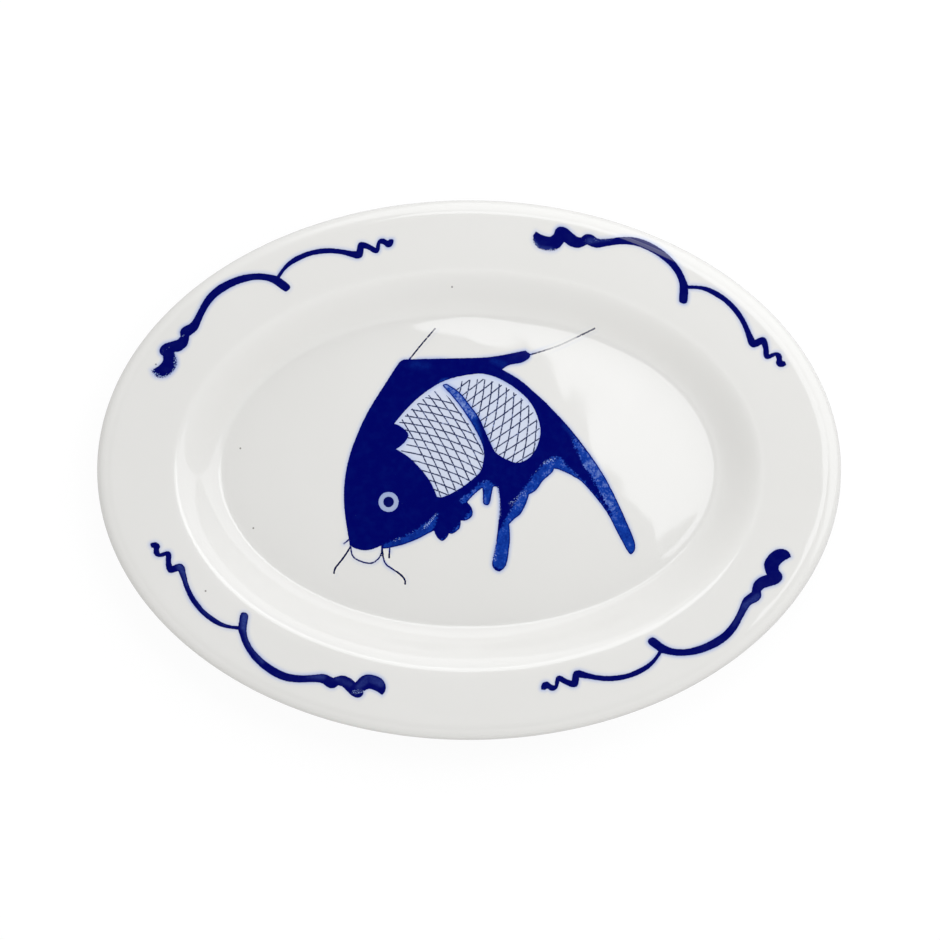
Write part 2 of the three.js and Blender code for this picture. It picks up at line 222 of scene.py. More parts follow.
for layer, colour in STAINS.items():
    stained = place_node(porcelain_colour, "Attribute", attribute_name=layer)
    stain = place_node(porcelain_colour, "Mix", data_type="RGBA")
    stain.inputs["B"].default_value = linear(*colour)
    links.new(coloured.outputs["Result"], stain.inputs["A"])
    links.new(stained.outputs["Fac"], stain.inputs["Factor"])
    coloured = stain
flattened = place_node(porcelain_colour, "VectorMath", {1: (1, 1, HEIGHT_SHARE)}, operation="MULTIPLY")
links.new(place.outputs["Object"], flattened.inputs[0])
nearest = None
for across, along, up in PINHOLES:
    hole = (across * MM, along * MM, up * HEIGHT_SHARE * MM)
    reach = place_node(porcelain_colour, "VectorMath", {1: hole}, operation="DISTANCE")
    links.new(flattened.outputs["Vector"], reach.inputs[0])
    if nearest is None:
        nearest = reach
        continue
    nearer = place_node(porcelain_colour, "Math", operation="MINIMUM")
    links.new(nearest.outputs["Value"], nearer.inputs[0])
    links.new(reach.outputs["Value"], nearer.inputs[1])
    nearest = nearer
pit = place_node(porcelain_colour, "MapRange", {"From Min": 0.4 * MM, "From Max": 0.2 * MM, "To Max": 0.8})
pitted = place_node(porcelain_colour, "Mix", data_type="RGBA")
pitted.inputs["B"].default_value = linear(*PINHOLE_BROWN)
porcelain_out = porcelain_colour.nodes.new("NodeGroupOutput")
links.new(nearest.outputs["Value"], pit.inputs["Value"])
links.new(pit.outputs["Result"], pitted.inputs["Factor"])
links.new(coloured.outputs["Result"], pitted.inputs["A"])
links.new(pitted.outputs["Result"], porcelain_out.inputs["Color"])

glazed_porcelain = bpy.data.materials.new("glazed_porcelain")
glazed_porcelain.use_nodes = True
tree = glazed_porcelain.node_tree
shader = tree.nodes["Principled BSDF"]
shader.inputs["IOR"].default_value = GLAZE_IOR
porcelain = place_node(tree, "Group", node_tree=porcelain_colour)
ripple = place_node(tree, "Group", node_tree=glaze_ripple)
place = place_node(tree, "TexCoord")
split = place_node(tree, "SeparateXYZ")
bare = place_node(tree, "MapRange", {"From Min": 0.5 * MM, "From Max": 0.3 * MM})
clay = place_node(tree, "Mix", data_type="RGBA")
clay.inputs["B"].default_value = linear(*FOOT_CLAY)
rough = place_node(tree, "Mix", {"B": CLAY_ROUGHNESS}, data_type="FLOAT")
links = tree.links
links.new(place.outputs["Object"], split.inputs["Vector"])
links.new(split.outputs["Z"], bare.inputs["Value"])
links.new(porcelain.outputs["Color"], clay.inputs["A"])
links.new(bare.outputs["Result"], clay.inputs["Factor"])
links.new(clay.outputs["Result"], shader.inputs["Base Color"])
links.new(bare.outputs["Result"], rough.inputs["Factor"])
links.new(ripple.outputs["Gloss"], rough.inputs["A"])
links.new(rough.outputs["Result"], shader.inputs["Roughness"])
links.new(ripple.outputs["Normal"], shader.inputs["Normal"])
plate.data.materials.append(glazed_porcelain)
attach(plate, "root")
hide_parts("porcelain_body")


# Carp
# The figure is brushed in cobalt on the bare clay and lies under the glaze, as smooth as the plate.
# The core took a full brush. Thinner washes along the chin, the fins and the tail dried lighter and grainy.
# In the firing the colour bled a little into the glaze round every stroke.
SHEET_LIFT = 0.04 * MM
MERGE_REACH = 0.001 * MM
CUT_REACH = 0.0001 * MM
FLAT_ANGLE = math.radians(1)
LEAST_UP = 0.3
SHARPEST_CORNER = 0.5
BLEED_SLOPE = 0.0125
BLEED = 1.8 * MM
CARP_GRAIN = 0.6 * MM
WASH_MARGIN = 3
FAR_OUTSIDE = -50


def outline_sides(mesh):
    """The sides of a flat sheet that one face alone has, each with the sheet to its left."""
    sides = {}
    for face in mesh.polygons:
        for here, there in zip(face.vertices, [*face.vertices[1:], face.vertices[0]]):
            sides[here, there] = True
    return [(here, there) for here, there in sides if (there, here) not in sides]


def outward_ways(mesh, sides):
    """The way out of a flat sheet at each corner of its outline."""
    outward = {}
    for here, there in sides:
        along = (mesh.vertices[there].co - mesh.vertices[here].co).normalized()
        for corner in (here, there):
            outward.setdefault(corner, []).append(Vector((along.y, -along.x, 0)))
    ways = {}
    for corner, normals in outward.items():
        middle = sum(normals, Vector()).normalized()
        ways[tuple(mesh.vertices[corner].co)] = middle / max(SHARPEST_CORNER, middle.dot(normals[0]))
    return ways


def corner_places(mesh):
    """Where each corner of a mesh lies, seen from above, in millimetres."""
    places = np.empty(3 * len(mesh.vertices))
    mesh.vertices.foreach_get("co", places)
    return places.reshape(-1, 3)[:, :2] / MM


def gap_to_line(places, here, there):
    """How far places lie from a straight line, and at what share of it they are nearest."""
    along = there - here
    share = np.clip((places - here) @ along / (along @ along), 0, 1)
    return np.linalg.norm(places - here - share[:, None] * along, axis=1), share


def write_layer(mesh, name, values):
    """Keep one value for each corner of a mesh."""
    layer = mesh.attributes.new(name, "FLOAT", "POINT")
    layer.data.foreach_set("value", values.astype(np.float32))


def lay_print(node, name, bleed, grain=None):
    """A print's upper face from the frame, with a strip of bleed round it, laid on the glaze."""
    bpy.ops.object.select_all(action="DESELECT")
    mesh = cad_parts[node].data.copy()
    mesh.materials.clear()
    sheet = bpy.data.objects.new(name, mesh)
    bpy.context.scene.collection.objects.link(sheet)
    bpy.context.view_layer.objects.active = sheet
    sheet.select_set(True)
    bpy.ops.object.mode_set(mode="EDIT")
    bpy.ops.mesh.select_mode(type="FACE")
    bpy.ops.mesh.select_all(action="SELECT")
    bpy.ops.mesh.remove_doubles(threshold=MERGE_REACH)
    bpy.ops.mesh.select_all(action="DESELECT")
    bpy.ops.object.mode_set(mode="OBJECT")
    for face in mesh.polygons:
        face.select = face.normal.z < LEAST_UP
    bpy.ops.object.mode_set(mode="EDIT")
    bpy.ops.mesh.delete(type="FACE")
    bpy.ops.mesh.select_all(action="SELECT")
    bpy.ops.transform.resize(value=(1, 1, 0), center_override=(0, 0, 0))
    bpy.ops.mesh.dissolve_limited(angle_limit=FLAT_ANGLE)
    bpy.ops.object.mode_set(mode="OBJECT")
    inside = len(mesh.vertices)
    sides = outline_sides(mesh)
    ways = outward_ways(mesh, sides)
    outline = corner_places(mesh)[np.array(sides)]
    bpy.ops.object.mode_set(mode="EDIT")
    bpy.ops.mesh.select_mode(type="EDGE")
    bpy.ops.mesh.select_all(action="SELECT")
    bpy.ops.mesh.region_to_loop()
    bpy.ops.mesh.extrude_edges_move(TRANSFORM_OT_translate={"value": (0, 0, 0)})
    bpy.ops.object.mode_set(mode="OBJECT")
    spread = np.zeros(len(mesh.vertices))
    for corner in mesh.vertices[inside:]:
        spread[corner.index] = 1
        corner.co += ways[tuple(corner.co)] * bleed
    write_layer(mesh, "outside", spread)
    bpy.ops.object.mode_set(mode="EDIT")
    if grain:
        for axis in (0, 1):
            places = corner_places(mesh)[:, axis] * MM
            for line in range(math.ceil(places.min() / grain), math.ceil(places.max() / grain)):
                cut = Vector()
                cut[axis] = 1
                bpy.ops.mesh.select_all(action="SELECT")
                bpy.ops.mesh.bisect(plane_co=cut * line * grain, plane_no=cut, threshold=CUT_REACH)
    bpy.ops.mesh.select_all(action="SELECT")
    bpy.ops.mesh.quads_convert_to_tris(ngon_method="BEAUTY")
    bpy.ops.transform.translate(value=(0, 0, 2 * crest_height))
    bpy.ops.object.mode_set(mode="OBJECT")
    drape = sheet.modifiers.new("drape", "SHRINKWRAP")
    drape.target = plate
    drape.wrap_method = "PROJECT"
    drape.wrap_mode = "ABOVE_SURFACE"
    drape.use_project_z = True
    drape.use_negative_direction = True
    drape.use_positive_direction = False
    drape.offset = SHEET_LIFT
    bpy.ops.object.modifier_apply(modifier="drape")
    outside = np.empty(len(mesh.vertices))
    mesh.attributes["outside"].data.foreach_get("value", outside)
    places = corner_places(mesh)
    gap = np.min([gap_to_line(places, *side)[0] for side in outline], axis=0)
    write_layer(mesh, "depth", np.where(outside > 0, -gap, gap))
    write_layer(mesh, "spread", np.where(outside > 0, np.clip(gap * MM / bleed, 0, 1), 0))
    for corner in mesh.vertices:
        corner.co.z -= BLEED_SLOPE * bleed * outside[corner.index]
    bpy.ops.object.mode_set(mode="EDIT")
    bpy.ops.mesh.select_mode(type="FACE")
    bpy.ops.mesh.select_all(action="DESELECT")
    bpy.ops.object.mode_set(mode="OBJECT")
    for face in mesh.polygons:
        face.select = face.normal.z < 0
    bpy.ops.object.mode_set(mode="EDIT")
    bpy.ops.mesh.flip_normals()
    bpy.ops.object.mode_set(mode="OBJECT")
    bpy.ops.object.shade_smooth()
    gloss = sheet.modifiers.new("gloss", "DATA_TRANSFER")
    gloss.object = plate
    gloss.use_loop_data = True
    gloss.data_types_loops = {"CUSTOM_NORMAL"}
    gloss.loop_mapping = "POLYINTERP_NEAREST"
    bpy.ops.object.modifier_apply(modifier="gloss")
    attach(sheet, "root")
    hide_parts(node)
    return sheet


def stroke_depth(places, points, start_half, end_half):
    """How deep places lie inside a brush stroke that widens or narrows on its way, in millimetres."""
    depth = np.full(len(places), float(FAR_OUTSIDE))
    points = np.array(points, float)
    for part, (here, there) in enumerate(zip(points, points[1:])):
        gap, share = gap_to_line(places, here, there)
        half = start_half + (end_half - start_half) * (part + share) / (len(points) - 1)
        depth = np.maximum(depth, half - gap)
    return depth


def faces_up(mesh):
    """Which corners of a mesh face up."""
    normals = np.empty(3 * len(mesh.vertices))
    mesh.vertex_normals.foreach_get("vector", normals)
    return normals[2::3] > 0


def brush_grainy(sheet, strokes):
    """Thin colour that dried grainy: how deep each corner lies in its strokes, and how strong they are."""
    places = corner_places(sheet.data)
    depth = np.zeros(len(places))
    strength = np.zeros(len(places))
    for *stroke, full in strokes:
        here = stroke_depth(places, *stroke) + WASH_MARGIN
        strength = np.where(here > depth, full, strength)
        depth = np.maximum(depth, here)
    write_layer(sheet.data, "grainy_wash", depth)
    write_layer(sheet.data, "grainy_strength", strength)


def brush_soft(sheet, name, strokes, fade):
    """Colour that runs out softly: how strong it is at each corner of a sheet, on its upper side."""
    places = corner_places(sheet.data)
    strength = np.zeros(len(places))
    for *stroke, full in strokes:
        strength = np.maximum(strength, full * np.clip(stroke_depth(places, *stroke) / fade + 0.5, 0, 1))
    write_layer(sheet.data, name, np.where(faces_up(sheet.data), strength, 0))


# A stroke is its points, half its width at the start and at the end, all in millimetres, and its strength.
CARP_GRAINY = [
    ([(-28.5, -26.5), (-23.9, -25.4), (-19.1, -23.2), (-15, -21)], 1.2, 1.9, 0.6),
    ([(-15, -21), (-12.3, -18), (-11.3, -15.6)], 1.8, 0.3, 0.7),
    ([(-2, -10.6), (1.5, -8.4), (4.6, -5.6), (6.8, -5.2)], 1, 1.2, 0.9),
    ([(6.6, -12), (6.9, -6)], 2, 1.8, 0.9),
    ([(14.6, -19), (17.4, -14.2), (20.8, -8.6), (24, -5), (27, -1.4), (30, 1.2)], 2.4, 3.4, 0.9),
    ([(30, 0.8), (34, -1), (38, -3.6)], 3, 0.8, 0.9),
    ([(1.4, -14.6), (-1.6, -18.2), (-6, -22.6), (-9, -25)], 0.8, 0.6, 0.9),
    ([(13.6, -17), (13, -20), (11.8, -25), (10.6, -31)], 0.9, 3.4, 0.8),
    ([(36.4, 10.8), (41.4, 2.8)], 0.6, 2, 1),
    ([(41.4, 2.8), (45, -2.2), (48.5, -8.2), (51.5, -14)], 2, 2.4, 1.15),
    ([(51.5, -14), (55.5, -26)], 2.6, 4.2, 0.85),
    ([(30.5, 1.2), (38.6, -4.2), (44.4, -11.2), (49.8, -20)], 0.9, 1.2, 0.8),
]
CARP_SOFT = [
    ([(33, 15.5), (38, 10.8)], 0.1, 0.8, 0.5),
    ([(-8.2, 29.2), (-4, 24.8), (0.2, 19.4)], 2.2, 2.6, 1.5),
    ([(0.2, 19.4), (2.8, 14), (4.4, 8)], 1.3, 0, 0.9),
    ([(8, 38.2), (12, 36.8)], 0.4, 0.8, 0.4),
    ([(-19.5, 36.9), (-14.5, 36.3)], 1.6, 1, 0.16),
    ([(-18, 36.7), (-15.5, 36.4)], 0.6, 0.4, 0.26),
]
CARP_DRY = [
    ([(-15.4, -19.8), (-11.2, -15.6)], 0.9, 0.6, 1),
    ([(-26, -24.6), (-24, -23.9)], 0.6, 0.6, 0.9),
    ([(-24, -23.9), (-15.4, -19.8)], 0.5, 0.7, 0.5),
    ([(14.6, -11.8), (19.4, -7.7)], 1.1, 1.1, 0.8),
    ([(22.1, -2.2), (26.2, 2.3)], 0.8, 0.8, 0.55),
    ([(26.2, 2.3), (29.7, 3.9)], 0.8, 0.8, 1),
    ([(9.2, -25.6), (8.9, -31.5)], 0.6, 0.7, 0.9),
    ([(10.1, -6), (10.9, -16.8)], 0.6, 0.5, 0.9),
    ([(-10.2, -8.9), (-1.3, -4.6)], 0.4, 0.4, 0.6),
    ([(48.2, -9.8), (51.7, -14.6)], 0.8, 0.8, 0.6),
]
# Strokes that fade the ink towards the clay. The left barbel's tip and the slight fading along the whole
# right barbel are thin ink. The strong stroke on the middle of the right barbel is a painted reflection: a
# lamp's sheen laid on as paler ink where the line crosses the floor's highlight.
CARP_FAINT_AND_PAINTED_SHEEN = [
    ([(24.6, 40.2), (44, 49.6)], 1.4, 1.4, 0.12),
    ([(27.6, 41.2), (37, 45.6)], 1, 1, 0.72),
    ([(-12.4, 49.4), (-11, 51)], 0.8, 0.8, 0.45),
]
CARP_PEN = [
    ([(23.4, 39.7), (44, 49.6)], 1.4, 1.4, 1),
    ([(-19.6, 40.2), (-11, 51)], 1.4, 1.4, 1),
    ([(-42.6, -28), (-47.6, -36)], 1.2, 1.4, 1.5),
    ([(-40.6, -29.6), (-35, -32.6), (-31.4, -29.8)], 1, 1, 0.4),
    ([(-29.4, -29), (-24.5, -34.3), (-22.8, -39.6)], 1.2, 1.4, 1.6),
]
carp = lay_print("carp_figure", "carp_brushed", BLEED, CARP_GRAIN)
brush_grainy(carp, CARP_GRAINY)
brush_soft(carp, "soft_wash", CARP_SOFT, fade=2)
brush_soft(carp, "dry_brush", CARP_DRY, fade=1)
brush_soft(carp, "faint_and_painted_sheen", CARP_FAINT_AND_PAINTED_SHEEN, fade=1.5)
brush_soft(carp, "pen_line", CARP_PEN, fade=1)

PEN_BLUE = (14, 22, 68)
FLECK_BLUE = (158, 182, 232)
BLEED_BLUE = (107, 140, 216)
RAGGED = 0.8
SPECKLE_SHARE = 0.9
DRY_SHARE = 0.27
cobalt_ink = bpy.data.node_groups.new("cobalt_ink", "ShaderNodeTree")
for label, way, kind in (
    ("Full", "INPUT", "NodeSocketColor"),
    ("Thin", "INPUT", "NodeSocketColor"),
    ("Fleck", "INPUT", "NodeSocketColor"),
    ("Bleed", "INPUT", "NodeSocketColor"),
    ("Color", "OUTPUT", "NodeSocketColor"),
):
    cobalt_ink.interface.new_socket(label, in_out=way, socket_type=kind)
ink_in = cobalt_ink.nodes.new("NodeGroupInput")
ink_out = cobalt_ink.nodes.new("NodeGroupOutput")
links = cobalt_ink.links
place = place_node(cobalt_ink, "TexCoord")
grain = place_node(cobalt_ink, "TexNoise", {"Scale": 1400, "Detail": 3, "Roughness": 0.6})
flecks = place_node(cobalt_ink, "TexNoise", {"Scale": 3200, "Detail": 3})
streak = place_node(cobalt_ink, "TexNoise", {"Scale": 420, "Detail": 3, "Roughness": 0.55})
for texture in (grain, flecks, streak):
    links.new(place.outputs["Object"], texture.inputs["Vector"])
grainy = place_node(cobalt_ink, "Attribute", attribute_name="grainy_wash")
soft = place_node(cobalt_ink, "Attribute", attribute_name="soft_wash")
dry = place_node(cobalt_ink, "Attribute", attribute_name="dry_brush")
depth = place_node(cobalt_ink, "Attribute", attribute_name="depth")

ragged = place_node(cobalt_ink, "MapRange", {
    "From Min": 0.3, "From Max": 0.7, "To Min": -WASH_MARGIN - RAGGED, "To Max": -WASH_MARGIN + RAGGED})
grainy_edge = place_node(cobalt_ink, "Math", operation="ADD")
grainy_edge_mask = place_node(cobalt_ink, "MapRange", {"From Min": -0.25, "From Max": 0.25})
grainy_strength = place_node(cobalt_ink, "Attribute", attribute_name="grainy_strength")
grainy_mask = place_node(cobalt_ink, "Math", operation="MULTIPLY")
links.new(grain.outputs["Fac"], ragged.inputs["Value"])
links.new(grainy.outputs["Fac"], grainy_edge.inputs[0])
links.new(ragged.outputs["Result"], grainy_edge.inputs[1])
links.new(grainy_edge.outputs["Value"], grainy_edge_mask.inputs["Value"])
links.new(grainy_edge_mask.outputs["Result"], grainy_mask.inputs[0])
links.new(grainy_strength.outputs["Fac"], grainy_mask.inputs[1])

pool = place_node(cobalt_ink, "MapRange", {"From Min": 0.7, "From Max": 1.2, "To Min": 0.5, "To Max": 1.45})
speckle = place_node(cobalt_ink, "Math", {1: SPECKLE_SHARE}, operation="MULTIPLY_ADD")
thin_most = place_node(cobalt_ink, "Math", operation="MAXIMUM")
thin_pool = place_node(cobalt_ink, "Math", operation="MULTIPLY")
uneven = place_node(cobalt_ink, "MapRange", {"From Min": 0.45, "From Max": 0.75, "To Max": 0.06})
thin_least = place_node(cobalt_ink, "Math", operation="MAXIMUM")
links.new(grain.outputs["Fac"], speckle.inputs[0])
links.new(streak.outputs["Fac"], speckle.inputs[2])
links.new(speckle.outputs["Value"], pool.inputs["Value"])
links.new(grainy_mask.outputs["Value"], thin_most.inputs[0])
links.new(soft.outputs["Fac"], thin_most.inputs[1])
links.new(thin_most.outputs["Value"], thin_pool.inputs[0])
links.new(pool.outputs["Result"], thin_pool.inputs[1])
links.new(streak.outputs["Fac"], uneven.inputs["Value"])
links.new(thin_pool.outputs["Value"], thin_least.inputs[0])
links.new(uneven.outputs["Result"], thin_least.inputs[1])

inner = place_node(cobalt_ink, "MapRange", {"From Min": 0.1, "From Max": 0.5, "To Min": 0.05, "To Max": 1})
thin = place_node(cobalt_ink, "Math", operation="MULTIPLY")
blue = place_node(cobalt_ink, "Mix", data_type="RGBA")
pen = place_node(cobalt_ink, "Attribute", attribute_name="pen_line")
penned = place_node(cobalt_ink, "Mix", data_type="RGBA")
penned.inputs["B"].default_value = linear(*PEN_BLUE)
thinnest = place_node(cobalt_ink, "MapRange", {"From Min": 1, "From Max": 2, "To Max": 0.6})
paler = place_node(cobalt_ink, "Mix", data_type="RGBA")
links.new(depth.outputs["Fac"], inner.inputs["Value"])
links.new(thin_least.outputs["Value"], thin.inputs[0])
links.new(inner.outputs["Result"], thin.inputs[1])
links.new(thin.outputs["Value"], blue.inputs["Factor"])
links.new(ink_in.outputs["Full"], blue.inputs["A"])
links.new(ink_in.outputs["Thin"], blue.inputs["B"])
links.new(thin.outputs["Value"], thinnest.inputs["Value"])
links.new(thinnest.outputs["Result"], paler.inputs["Factor"])
links.new(pen.outputs["Fac"], penned.inputs["Factor"])
links.new(blue.outputs["Result"], penned.inputs["A"])
links.new(penned.outputs["Result"], paler.inputs["A"])
links.new(ink_in.outputs["Fleck"], paler.inputs["B"])

dryness = place_node(cobalt_ink, "Math", {1: DRY_SHARE}, operation="MULTIPLY")
bare_spot = place_node(cobalt_ink, "Math", operation="ADD")
fleck = place_node(cobalt_ink, "MapRange", {"From Min": 0.78, "From Max": 0.86, "To Max": 0.9})
flecked = place_node(cobalt_ink, "Mix", data_type="RGBA")
links.new(dry.outputs["Fac"], dryness.inputs[0])
links.new(dryness.outputs["Value"], bare_spot.inputs[0])
links.new(flecks.outputs["Fac"], bare_spot.inputs[1])
links.new(bare_spot.outputs["Value"], fleck.inputs["Value"])
links.new(fleck.outputs["Result"], flecked.inputs["Factor"])
links.new(paler.outputs["Result"], flecked.inputs["A"])
links.new(ink_in.outputs["Fleck"], flecked.inputs["B"])

porcelain = place_node(cobalt_ink, "Group", node_tree=porcelain_colour)
# Fading of the ink towards the clay: thin ink in part, and in part a painted reflection over the middle of
# the right barbel.
faint_and_painted_sheen = place_node(cobalt_ink, "Attribute", attribute_name="faint_and_painted_sheen")
spread = place_node(cobalt_ink, "Attribute", attribute_name="spread")
near = place_node(cobalt_ink, "MapRange", {"To Min": 1, "To Max": 0})
fading = place_node(cobalt_ink, "Math", {1: 2}, operation="POWER")
bled_most = place_node(cobalt_ink, "MapRange", {"To Min": 1, "To Max": 0})
patches = place_node(cobalt_ink, "TexNoise", {"Scale": 70, "Detail": 1})
bled_here = place_node(cobalt_ink, "MapRange", {
    "From Min": 0.35, "From Max": 0.65, "To Min": 0.3, "To Max": 0.65})
bled_much = place_node(cobalt_ink, "Math", operation="MULTIPLY")
halo = place_node(cobalt_ink, "Math", operation="MULTIPLY")
bled = place_node(cobalt_ink, "Mix", data_type="RGBA")
links.new(spread.outputs["Fac"], near.inputs["Value"])
links.new(near.outputs["Result"], fading.inputs[0])
links.new(pen.outputs["Fac"], bled_most.inputs["Value"])
links.new(place.outputs["Object"], patches.inputs["Vector"])
links.new(patches.outputs["Fac"], bled_here.inputs["Value"])
links.new(bled_here.outputs["Result"], bled_much.inputs[0])
links.new(bled_most.outputs["Result"], bled_much.inputs[1])
links.new(fading.outputs["Value"], halo.inputs[0])
links.new(bled_much.outputs["Value"], halo.inputs[1])
links.new(halo.outputs["Value"], bled.inputs["Factor"])
links.new(porcelain.outputs["Color"], bled.inputs["A"])
links.new(ink_in.outputs["Bleed"], bled.inputs["B"])

wavy_edge = place_node(cobalt_ink, "MapRange", {
    "From Min": 0.3, "From Max": 0.7, "To Min": -0.07, "To Max": 0.07})
retreat = place_node(cobalt_ink, "MapRange", {"From Min": 0.4, "From Max": 0.65, "To Max": 0.6})
eaten = place_node(cobalt_ink, "Math", operation="MULTIPLY")
wavy_depth = place_node(cobalt_ink, "Math", operation="ADD")
left_depth = place_node(cobalt_ink, "Math", operation="SUBTRACT")
body = place_node(
    cobalt_ink, "MapRange", {"From Min": -0.1, "From Max": 0}, interpolation_type="SMOOTHSTEP")
broader = place_node(cobalt_ink, "MapRange", {"From Min": 1, "From Max": 2, "To Max": 0.12})
grown_depth = place_node(cobalt_ink, "Math", operation="ADD")
unfaded_cover = place_node(cobalt_ink, "MapRange", {"To Min": 1, "To Max": 0})
cover = place_node(cobalt_ink, "Math", operation="MULTIPLY")
printed = place_node(cobalt_ink, "Mix", data_type="RGBA")
links.new(grain.outputs["Fac"], wavy_edge.inputs["Value"])
links.new(flecks.outputs["Fac"], retreat.inputs["Value"])
links.new(retreat.outputs["Result"], eaten.inputs[0])
links.new(dry.outputs["Fac"], eaten.inputs[1])
links.new(depth.outputs["Fac"], wavy_depth.inputs[0])
links.new(wavy_edge.outputs["Result"], wavy_depth.inputs[1])
links.new(wavy_depth.outputs["Value"], left_depth.inputs[0])
links.new(eaten.outputs["Value"], left_depth.inputs[1])
links.new(pen.outputs["Fac"], broader.inputs["Value"])
links.new(left_depth.outputs["Value"], grown_depth.inputs[0])
links.new(broader.outputs["Result"], grown_depth.inputs[1])
links.new(grown_depth.outputs["Value"], body.inputs["Value"])
links.new(faint_and_painted_sheen.outputs["Fac"], unfaded_cover.inputs["Value"])
links.new(body.outputs["Result"], cover.inputs[0])
links.new(unfaded_cover.outputs["Result"], cover.inputs[1])
links.new(cover.outputs["Value"], printed.inputs["Factor"])
links.new(bled.outputs["Result"], printed.inputs["A"])
links.new(flecked.outputs["Result"], printed.inputs["B"])
links.new(printed.outputs["Result"], ink_out.inputs["Color"])


def cobalt(name, full, thin):
    """A cobalt print under the glaze: full colour, its thin wash, pale flecks and a pale bleed."""
    material = bpy.data.materials.new(name)
    material.use_nodes = True
    tree = material.node_tree
    shader = tree.nodes["Principled BSDF"]
    shader.inputs["IOR"].default_value = GLAZE_IOR
    ink = place_node(tree, "Group", node_tree=cobalt_ink)
    ink.inputs["Full"].default_value = linear(*full)
    ink.inputs["Thin"].default_value = linear(*thin)
    ink.inputs["Fleck"].default_value = linear(*FLECK_BLUE)
    ink.inputs["Bleed"].default_value = linear(*BLEED_BLUE)
    ripple = place_node(tree, "Group", node_tree=glaze_ripple)
    tree.links.new(ink.outputs["Color"], shader.inputs["Base Color"])
    tree.links.new(ripple.outputs["Gloss"], shader.inputs["Roughness"])
    tree.links.new(ripple.outputs["Normal"], shader.inputs["Normal"])
    return material


carp.data.materials.append(cobalt("carp_cobalt", full=(0, 4, 97), thin=(18, 61, 160)))


# Pupil and scale nets
# The pupil is one dab of a full brush in the bare eye. A fine pen drew the nets in two families of lines.
# A very thin wash of the same cobalt tints the clay in the eye and under the nets.
WINDOW_STAIN = [
    ([(-19, 12), (-8, 22)], 8.5, 8.5, 1),
    ([(-10, 8), (-2, 8)], 9, 9, 1),
    ([(-17, 3), (-11, -6)], 5.5, 5, 1),
    ([(-9, -5), (0, 2)], 5.5, 5.5, 1),
    ([(-6, 24), (6, 26)], 8, 8, 1),
    ([(8, 24), (16.5, 11)], 11, 11, 1),
]
EYE_STAIN = [([(-28, -11.2), (-28.1, -11.2)], 5.5, 5.5, 1)]
PUPIL_BLEED = 1.2 * MM
PEN_BLEED = 0.1 * MM
pupil = lay_print("carp_pupil", "carp_pupil_dab", PUPIL_BLEED, CARP_GRAIN)
front_net = lay_print("carp_front_net", "carp_front_net_lines", PEN_BLEED)
rear_net = lay_print("carp_rear_net", "carp_rear_net_lines", PEN_BLEED)
for sheet in (plate, carp, pupil, front_net, rear_net):
    brush_soft(sheet, "window_stain", WINDOW_STAIN, fade=1)
    brush_soft(sheet, "eye_stain", EYE_STAIN, fade=1)
pen_cobalt = cobalt("pen_cobalt", full=(40, 47, 84), thin=(60, 80, 150))
pupil.data.materials.append(cobalt("pupil_cobalt", full=(4, 8, 88), thin=(40, 60, 150)))
front_net.data.materials.append(pen_cobalt)
rear_net.data.materials.append(pen_cobalt)


# Cloud scrolls
# One rubber stamp set down four times on the rim, inked in the same cobalt.
# Each print took the colour a little differently: thin in places, and ragged where the stamp was dry.
SCROLL_GRAIN = 0.4 * MM
SCROLL_SOFT = {
    "scroll_front_right": [
        ([(93.6, -47.1), (98.1, -43.7)], 1.2, 1, 0.4),
        ([(89.7, -53.3), (93, -47.8)], 0.6, 0.9, 0.2),
    ],
    "scroll_front_left": [
        ([(-37.4, -74.3), (-34.1, -71.2), (-29.9, -72.9)], 0.9, 1.4, 0.35),
        ([(-44.7, -71.5), (-40.4, -73.4)], 0.8, 0.8, 0.3),
        ([(-54.2, -70.5), (-49.5, -70.9)], 0.9, 0.9, 0.35),
        ([(-76, -54.5), (-74.4, -59.5), (-69.9, -65.7)], 1, 0.6, 0.4),
        ([(-76.1, -49.8), (-76.3, -54)], 1.1, 1.1, 0.6),
        ([(-98.4, -33.6), (-96.8, -35.8), (-95.5, -39.4)], 1, 0.8, 0.5),
        ([(-95.5, -39.4), (-89.6, -48.9), (-82.3, -53.4)], 0.7, 0.4, 0.35),
    ],
    "scroll_rear_left": [],
    "scroll_rear_right": [
        ([(41.2, 77.8), (44.2, 78.2), (48.2, 78.4)], 1, 0.6, 0.35),
        ([(22.6, 77), (24.1, 75.6), (28, 75.2)], 0.8, 0.6, 0.4),
    ],
}
SCROLL_DRY = {
    "scroll_front_right": [],
    "scroll_front_left": [([(-39, -75.9), (-36, -75.9)], 0.8, 0.8, 0.9)],
    "scroll_rear_left": [
        ([(-109.2, 34.4), (-107.6, 32), (-105, 30.6), (-102, 31.4)], 1, 1, 1),
        ([(-102, 31.4), (-100.2, 34), (-100.2, 39)], 1, 0.8, 0.9),
        ([(-104.8, 37.8), (-104.5, 40.2), (-102.1, 41.3)], 0.4, 0.3, 0.8),
        ([(-99.6, 36.4), (-99.6, 32.8)], 0.4, 0.4, 0.8),
        ([(-98.1, 44.9), (-95.8, 46.9)], 0.3, 0.3, 0.8),
    ],
    "scroll_rear_right": [
        ([(21.4, 78.4), (23.4, 75.2), (26, 74.2), (30, 74.6)], 1.1, 0.9, 1),
        ([(40, 77.4), (44.2, 78.2), (49.2, 78.6)], 1, 0.8, 0.5),
    ],
}
stamp_cobalt = cobalt("stamp_cobalt", full=(2, 6, 92), thin=(52, 68, 140))
for node in SCROLL_SOFT:
    scroll = lay_print(node, node + "_stamp", BLEED, SCROLL_GRAIN)
    brush_soft(scroll, "soft_wash", SCROLL_SOFT[node], fade=1)
    brush_soft(scroll, "dry_brush", SCROLL_DRY[node], fade=0.6)
    scroll.data.materials.append(stamp_cobalt)


